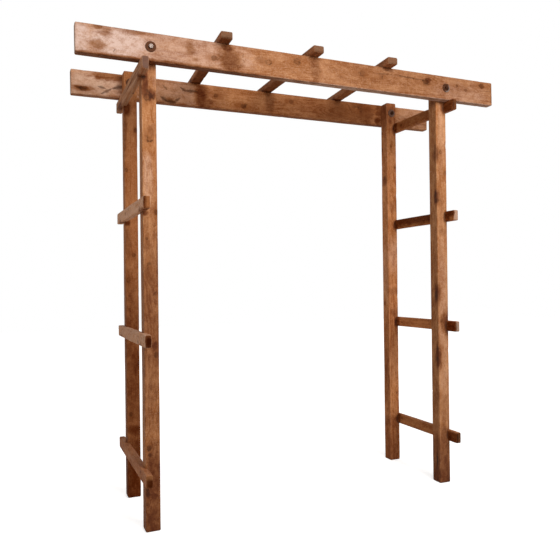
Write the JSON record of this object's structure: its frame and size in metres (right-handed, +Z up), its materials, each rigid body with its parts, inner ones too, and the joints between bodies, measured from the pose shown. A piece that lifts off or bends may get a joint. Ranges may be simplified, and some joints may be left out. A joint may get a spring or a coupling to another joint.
{
  "type": "wooden garden arch",
  "caption": "Free-standing square-cut timber walk-through arch: posts joined by bolted overhanging beams, with open ladder-like sides and loose-spaced rungs across the top.",
  "frame": {"origin": "at ground level in the middle of the four posts, which is the bottom centre of the whole arch", "axes": "+X along the beams to the right as seen from the front, +Y through the walkway from front to back, +Z up"},
  "size_m": [2.12, 0.7218, 2.133],
  "materials": {
    "post_timber": "warm brown stained sawn softwood, darker toward the foot",
    "beam_timber": "warm brown stained sawn softwood with knots, lighter on the front",
    "rung_timber": "dark brown stained sawn softwood with weathered end grain",
    "bolt_steel": "dull weathered steel with a bronze tint",
    "washer_steel": "dark rusty brown steel"
  },
  "bodies": {
    "root": {"post_front_left": "post_timber", "post_front_right": "post_timber", "post_back_left": "post_timber", "post_back_right": "post_timber", "beam_front": "beam_timber", "beam_back": "beam_timber", "top_rung_left": "rung_timber", "top_rung_middle": "rung_timber", "top_rung_right": "rung_timber", "side_rung_left_1": "rung_timber", "side_rung_left_2": "rung_timber", "side_rung_left_3": "rung_timber", "side_rung_left_4": "rung_timber", "side_rung_right_1": "rung_timber", "side_rung_right_2": "rung_timber", "side_rung_right_3": "rung_timber", "side_rung_right_4": "rung_timber", "bolt_front_left": "bolt_steel", "bolt_front_right": "bolt_steel", "bolt_back_left": "bolt_steel", "bolt_back_right": "bolt_steel", "nut_front_left": "bolt_steel", "nut_front_right": "bolt_steel", "nut_back_left": "bolt_steel", "nut_back_right": "bolt_steel", "head_washer_front_left": "washer_steel", "head_washer_front_right": "washer_steel", "head_washer_back_left": "washer_steel", "head_washer_back_right": "washer_steel", "nut_washer_front_left": "washer_steel", "nut_washer_front_right": "washer_steel", "nut_washer_back_left": "washer_steel", "nut_washer_back_right": "washer_steel"}
  },
  "joints": []
}
